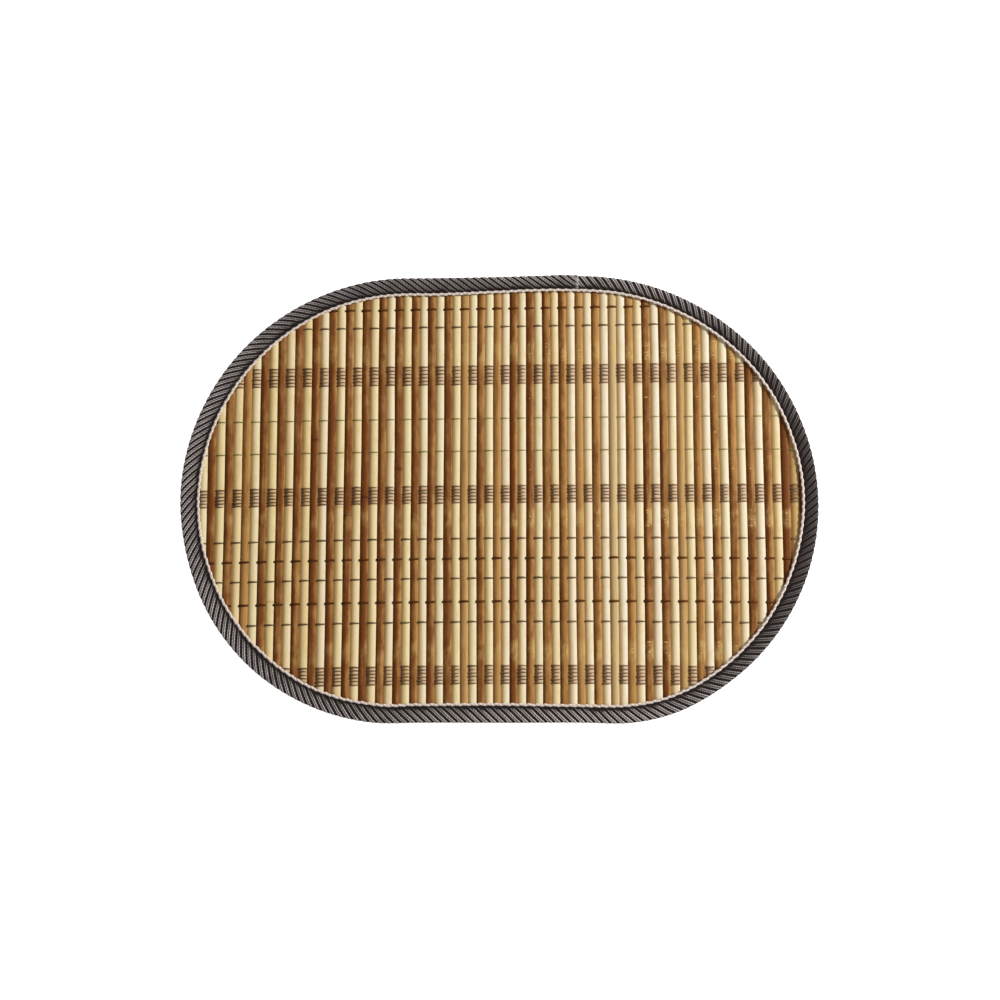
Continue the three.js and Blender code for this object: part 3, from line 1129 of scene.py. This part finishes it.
class PlacematSizes(bpy.types.PropertyGroup):
    """Sizes a user would change"""

    dark_yarn: FloatProperty(
        name="Dark yarn", description="Radius of a dark warp thread in mm", default=0.5, min=0.1
    )
    olive_yarn: FloatProperty(
        name="Olive yarn", description="Radius of an olive warp thread in mm", default=0.36, min=0.1
    )
    russet_yarn: FloatProperty(
        name="Russet yarn", description="Radius of a red-brown warp thread in mm", default=0.6, min=0.1
    )
    gold_yarn: FloatProperty(
        name="Gold yarn", description="Radius of a gold warp thread in mm", default=0.36, min=0.1
    )
    rib_depth: FloatProperty(
        name="Rib depth", description="Depth of the furrows in the tape in mm", default=0.36, min=0
    )
    steps_per_rib: IntProperty(
        name="Steps per rib", description="Steps of the tape's mesh along each rib", default=8, min=4
    )
    lap_lift: FloatProperty(
        name="Lap lift", description="How far the tape's end stands over its start in mm", default=0.55
    )
    selvage_width: FloatProperty(
        name="Selvage width", description="Width of the pale edge of the tape in mm", default=1.75
    )


def shade_property(name, description, default):
    """A colour that a user would change, given as linear red, green and blue."""
    return FloatVectorProperty(
        name=name, description=description, subtype="COLOR", size=3, min=0, max=1, default=default
    )


class PlacematColours(bpy.types.PropertyGroup):
    """Colours a user would change"""

    pale_warm: shade_property("Pale, warm", "Pale bamboo at its warmest", (0.745, 0.58, 0.31))
    pale_cool: shade_property("Pale, cool", "Pale bamboo at its whitest", (0.79, 0.7, 0.57))
    # The pale flank colour is partly the cane's green-gold skin and partly painted shade
    pale_flank: shade_property("Pale flank", "Green-gold skin on a pale slat's flank", (0.6, 0.395, 0.15))
    brown_deep: shade_property("Brown, deep", "Smoked bamboo at its darkest", (0.18, 0.054, 0.008))
    brown_honey: shade_property("Brown, honey", "Bamboo smoked to a honey colour", (0.43, 0.222, 0.063))
    brown_straw: shade_property("Brown, straw", "Bamboo that took little smoke", (0.6, 0.44, 0.21))
    dark_yarn: shade_property("Dark yarn", "Dark warp threads", (0.17, 0.11, 0.055))
    russet_yarn: shade_property("Russet yarn", "Red-brown warp threads", (0.1, 0.034, 0.006))
    olive_yarn: shade_property("Olive yarn", "Olive warp threads", (0.3, 0.26, 0.1))
    gold_yarn: shade_property("Gold yarn", "Gold warp threads", (0.57, 0.38, 0.13))
    tape_dark: shade_property("Tape", "Ground of the edge tape", (0.019, 0.013, 0.011))
    tape_strand: shade_property("Tape strands", "Pale strands of the edge tape", (0.6, 0.54, 0.52))
    edging: shade_property("Selvage", "Pale selvage of the tape", (0.82, 0.7, 0.62))
    edging_shade: shade_property("Selvage shade", "Selvage between its loops", (0.5, 0.4, 0.34))
    floor: shade_property("Floor", "Plain pale floor", (0.93, 0.93, 0.93))


class PLACEMAT_OT_slats(bpy.types.Operator):
    """Lay the pale and the brown slats side by side"""

    bl_idname = "placemat.slats"
    bl_label = "Lay the slats"

    def execute(self, context):
        colours = context.scene.placemat_colours
        pale = make_slats("pale", "pale_slats", pale_bamboo(colours), "pale_bamboo")
        brown = make_slats("brown", "brown_slats", brown_bamboo(colours), "brown_bamboo")
        for piece in (pale, brown):
            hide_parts("slat_panel")
        return {"FINISHED"}


class PLACEMAT_OT_warps(bpy.types.Operator):
    """Weave the warp threads over and under the slats"""

    bl_idname = "placemat.warps"
    bl_label = "Weave the warp threads"

    def execute(self, context):
        colours = context.scene.placemat_colours
        sizes = context.scene.placemat_sizes
        for kind in YARNS:
            name = f"{kind.name}_yarn"
            material = twisted_yarn(name, getattr(colours, name), kind.smoothness)
            make_warps(kind, getattr(sizes, name), material)
        return {"FINISHED"}


class PLACEMAT_OT_tape(bpy.types.Operator):
    """Fold the tape round the edge and run its selvage along the lips"""

    bl_idname = "placemat.tape"
    bl_label = "Bind the edge"

    def execute(self, context):
        colours = context.scene.placemat_colours
        sizes = context.scene.placemat_sizes
        tape = make_tape(sizes, tape_cloth(colours))
        make_selvage(sizes, selvage_cotton(colours))
        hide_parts("edge_binding")
        return {"FINISHED"}


def set_camera():
    """The camera that took the photo, as its fit gives it."""
    camera = bpy.data.cameras.new("camera")
    camera.sensor_width = SENSOR_MM
    camera.lens = SENSOR_MM * FOCAL_SHARE
    camera.shift_x = SHIFT_X
    camera.shift_y = SHIFT_Y
    camera.clip_start, camera.clip_end = CAMERA_CLIP
    view = bpy.data.objects.new("camera", camera)
    back = Vector((0, -math.sin(CAMERA_TILT), math.cos(CAMERA_TILT)))
    view.location = CAMERA_AIM + back * CAMERA_DISTANCE
    view.rotation_euler = (CAMERA_TILT, 0, 0)
    bpy.context.scene.collection.objects.link(view)
    bpy.context.scene.camera = view


def add_lamp(row):
    """A soft square lamp, turned to the middle of the mat."""
    light = bpy.data.lights.new(row.name, "AREA")
    light.shape = "SQUARE"
    light.size = row.size
    light.energy = row.power
    lamp = bpy.data.objects.new(row.name, light)
    lamp.location = row.place
    lamp.rotation_euler = (-Vector(row.place)).to_track_quat("-Z", "Y").to_euler()
    bpy.context.scene.collection.objects.link(lamp)


def floor_shape():
    """A wide round floor whose far rim turns up, so that no horizon shows from low down."""
    source = bmesh.new()
    bmesh.ops.create_circle(source, cap_ends=True, segments=FLOOR_SIDES, radius=FLOOR_RADIUS / MM)
    drawn = bmesh.ops.extrude_edge_only(source, edges=list(source.edges))["geom"]
    rim = [part for part in drawn if isinstance(part, bmesh.types.BMVert)]
    bmesh.ops.translate(source, vec=(0, 0, FLOOR_RIM / MM), verts=rim)
    bmesh.ops.translate(source, vec=(0, 0, -FLOOR_DROP_MM), verts=source.verts)
    bmesh.ops.reverse_faces(source, faces=[face for face in source.faces if face.normal.z < -0.5])
    return source


class PLACEMAT_OT_stage(bpy.types.Operator):
    """Set the floor, the lights and the camera"""

    bl_idname = "placemat.stage"
    bl_label = "Set the stage"

    def execute(self, context):
        scene = context.scene
        floor = finished("floor", floor_shape(), floor_paper(scene.placemat_colours))
        set_camera()
        for lamp in LAMPS:
            add_lamp(lamp)
        world = bpy.data.worlds.new("studio")
        world.use_nodes = True
        sky = world.node_tree.nodes["Background"].inputs
        sky["Color"].default_value = SKY_COLOUR
        sky["Strength"].default_value = SKY_STRENGTH
        scene.world = world
        scene.view_settings.view_transform = "Standard"
        return {"FINISHED"}


class PLACEMAT_PT_panel(bpy.types.Panel):
    """Builds the placemat piece by piece"""

    bl_idname = "PLACEMAT_PT_panel"
    bl_label = "Bamboo placemat"
    bl_space_type = "VIEW_3D"
    bl_region_type = "UI"
    bl_category = "Placemat"

    def draw(self, context):
        for group in (context.scene.placemat_sizes, context.scene.placemat_colours):
            for name in type(group).__annotations__:
                self.layout.prop(group, name)
        for step in STEPS:
            self.layout.operator(step.bl_idname)


STEPS = (PLACEMAT_OT_slats, PLACEMAT_OT_warps, PLACEMAT_OT_tape, PLACEMAT_OT_stage)
CLASSES = (PlacematSizes, PlacematColours, *STEPS, PLACEMAT_PT_panel)


def register():
    for cls in CLASSES:
        bpy.utils.register_class(cls)
    bpy.types.Scene.placemat_sizes = PointerProperty(type=PlacematSizes)
    bpy.types.Scene.placemat_colours = PointerProperty(type=PlacematColours)


def unregister():
    del bpy.types.Scene.placemat_colours
    del bpy.types.Scene.placemat_sizes
    for cls in reversed(CLASSES):
        bpy.utils.unregister_class(cls)


def main():
    """Builds every piece in order."""
    register()
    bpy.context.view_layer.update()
    bpy.ops.placemat.slats()
    bpy.ops.placemat.warps()
    bpy.ops.placemat.tape()
    bpy.ops.placemat.stage()


if __name__ == "__main__":
    main()
